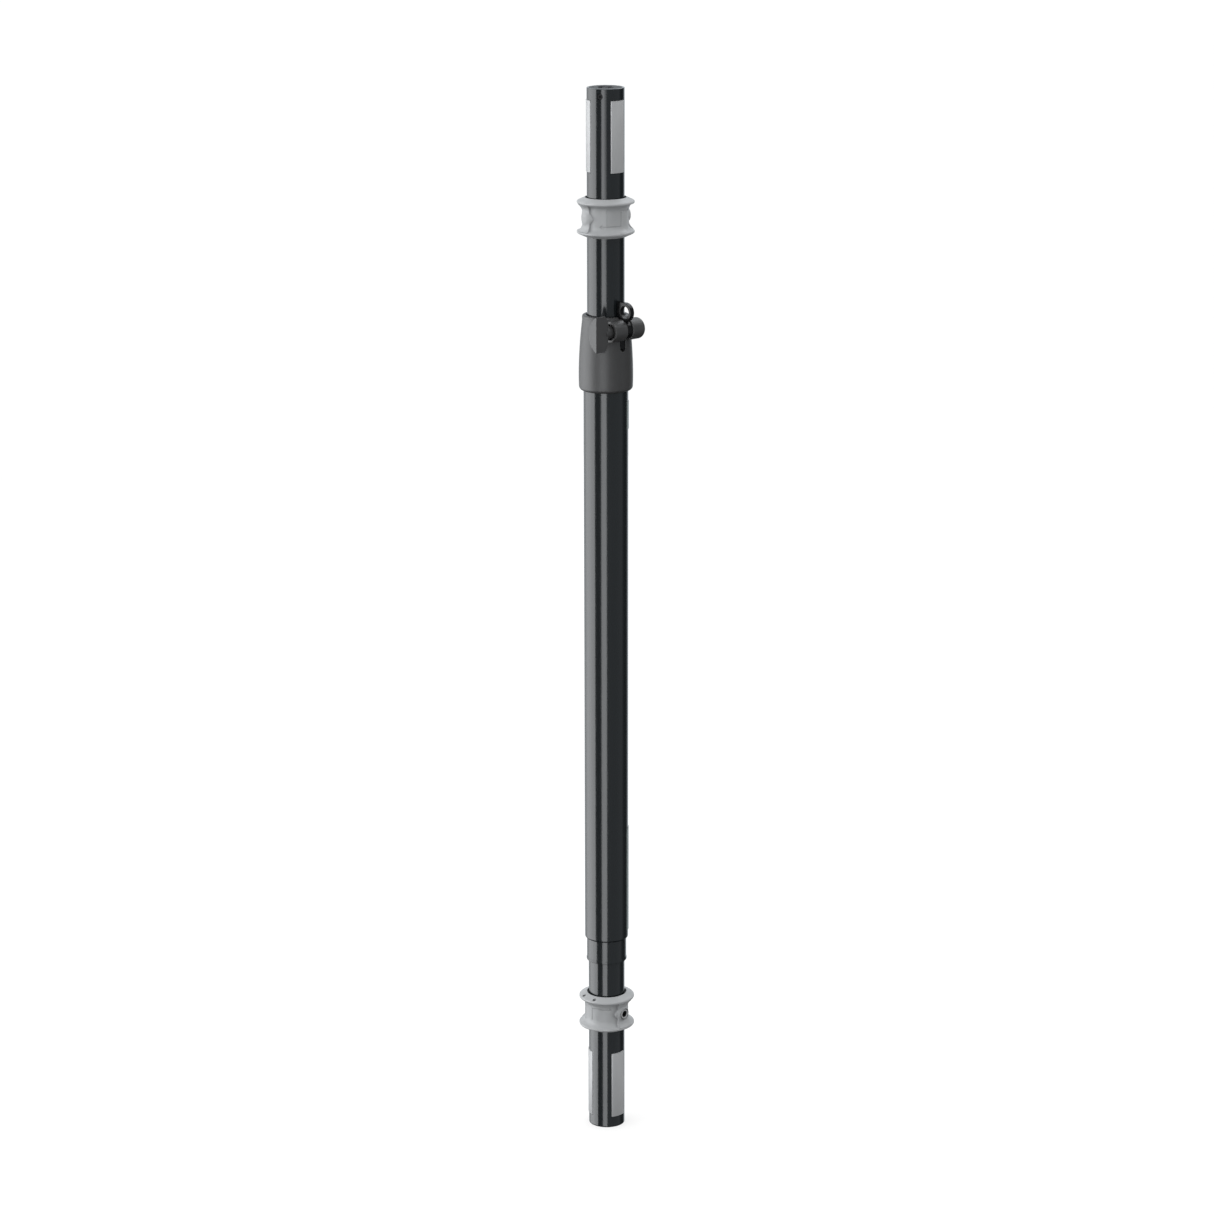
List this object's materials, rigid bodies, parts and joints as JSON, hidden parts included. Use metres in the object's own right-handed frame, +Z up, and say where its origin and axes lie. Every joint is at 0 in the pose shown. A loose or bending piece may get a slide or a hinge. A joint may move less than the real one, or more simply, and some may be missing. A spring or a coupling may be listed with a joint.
{
  "type": "telescopic loudspeaker pole",
  "caption": "Telescopic black pole with a split clamp collar, wing knob, safety eye, and a turn ring with expanding pads at each end.",
  "frame": {"origin": "centre of the pole's lower end face", "axes": "+Z up the pole; -Y is the side of the clamp's split, so the clamp screw runs along X with the knob at its -X end"},
  "size_m": [0.0661, 0.0635, 1.017],
  "materials": {
    "black_tube": "satin black coating",
    "dark_grey_plastic": "fine moulded grain",
    "black_plastic": "matte",
    "black_lug": "glossy black",
    "ring_grey": "die-cast, satin light-grey coating",
    "pad_aluminium": "satin",
    "plug_grey": "matte",
    "plated_steel": "zinc plated",
    "black_oxide": "black oxide",
    "disc_steel": "plain",
    "blank_label": "satin film, blank"
  },
  "bodies": {
    "pole_base": {"outer_tube": "black_tube", "reducing_sleeve": "black_tube", "lower_tube": "black_tube", "clamp_collar": "dark_grey_plastic", "clamp_liner": "black_plastic", "clamp_nut": "plated_steel", "safety_eye": "black_lug", "label_upper": "blank_label", "label_lower": "blank_label", "lower_end_plug": "plug_grey", "lower_plug_screw": "black_oxide", "lower_spindle_bearing": "black_plastic"},
    "upper_pole": {"upper_tube": "black_tube", "upper_tube_foot": "black_plastic", "upper_end_plug": "plug_grey", "upper_plug_screw": "black_oxide", "upper_spindle_bearing": "black_plastic"},
    "clamp_washer": {"thrust_washer": "plated_steel"},
    "clamp_knob": {"wing_knob": "dark_grey_plastic", "clamp_stud": "plated_steel"},
    "lower_ring": {"lower_turn_ring": "ring_grey", "lower_ring_bush": "black_plastic", "lower_ring_bolt": "plated_steel", "lower_spindle": "plated_steel", "lower_scroll_outer": "disc_steel", "lower_scroll_inner": "disc_steel"},
    "lower_pad_1": {"lower_pad_1": "pad_aluminium", "lower_pad_dowel_1": "plated_steel"},
    "lower_pad_2": {"lower_pad_2": "pad_aluminium", "lower_pad_dowel_2": "plated_steel"},
    "lower_pad_3": {"lower_pad_3": "pad_aluminium", "lower_pad_dowel_3": "plated_steel"},
    "upper_ring": {"upper_turn_ring": "ring_grey", "upper_ring_bush": "black_plastic", "upper_ring_bolt": "plated_steel", "upper_spindle": "plated_steel", "upper_scroll_outer": "disc_steel", "upper_scroll_inner": "disc_steel"},
    "upper_pad_1": {"upper_pad_1": "pad_aluminium", "upper_pad_dowel_1": "plated_steel"},
    "upper_pad_2": {"upper_pad_2": "pad_aluminium", "upper_pad_dowel_2": "plated_steel"},
    "upper_pad_3": {"upper_pad_3": "pad_aluminium", "upper_pad_dowel_3": "plated_steel"}
  },
  "joints": [
    {"name": "upper_tube_slide", "type": "slide", "parent": "pole_base", "child": "upper_pole", "axis": [0, 0, 1], "range_m": [0, 0.42]},
    {"name": "knob_travel", "type": "slide", "parent": "pole_base", "child": "clamp_washer", "axis": [-1, 0, 0], "range_m": [0, 0.0019]},
    {"name": "knob_turn", "type": "hinge", "parent": "clamp_washer", "child": "clamp_knob", "pos_m": [-0.03, -0.025, 0.7955], "axis": [-1, 0, 0], "range_deg": [0, 540]},
    {"name": "lower_ring_turn", "type": "hinge", "parent": "pole_base", "child": "lower_ring", "pos_m": [0, 0, 0.11875], "axis": [0, 0, 1], "range_deg": [-24, 40]},
    {"name": "upper_ring_turn", "type": "hinge", "parent": "upper_pole", "child": "upper_ring", "pos_m": [0, 0, 0.89825], "axis": [0, 0, -1], "range_deg": [-24, 40]},
    {"name": "lower_pad_1_slide", "type": "slide", "parent": "pole_base", "child": "lower_pad_1", "axis": [0, -1, 0], "range_m": [-0.00077, 0.00127]},
    {"name": "lower_pad_2_slide", "type": "slide", "parent": "pole_base", "child": "lower_pad_2", "axis": [0.866, 0.5, 0], "range_m": [-0.00077, 0.00127]},
    {"name": "lower_pad_3_slide", "type": "slide", "parent": "pole_base", "child": "lower_pad_3", "axis": [-0.866, 0.5, 0], "range_m": [-0.00077, 0.00127]},
    {"name": "upper_pad_1_slide", "type": "slide", "parent": "upper_pole", "child": "upper_pad_1", "axis": [0, -1, 0], "range_m": [-0.00077, 0.00127]},
    {"name": "upper_pad_2_slide", "type": "slide", "parent": "upper_pole", "child": "upper_pad_2", "axis": [-0.866, 0.5, 0], "range_m": [-0.00077, 0.00127]},
    {"name": "upper_pad_3_slide", "type": "slide", "parent": "upper_pole", "child": "upper_pad_3", "axis": [0.866, 0.5, 0], "range_m": [-0.00077, 0.00127]}
  ],
  "couplings": [
    {"joint": "knob_travel", "follows": "knob_turn", "m_per_rad": 0.00019894},
    {"joint": "lower_pad_1_slide", "follows": "lower_ring_turn", "m_per_rad": 0.0017905},
    {"joint": "lower_pad_2_slide", "follows": "lower_ring_turn", "m_per_rad": 0.0017905},
    {"joint": "lower_pad_3_slide", "follows": "lower_ring_turn", "m_per_rad": 0.0017905},
    {"joint": "upper_pad_1_slide", "follows": "upper_ring_turn", "m_per_rad": 0.0017905},
    {"joint": "upper_pad_2_slide", "follows": "upper_ring_turn", "m_per_rad": 0.0017905},
    {"joint": "upper_pad_3_slide", "follows": "upper_ring_turn", "m_per_rad": 0.0017905}
  ]
}
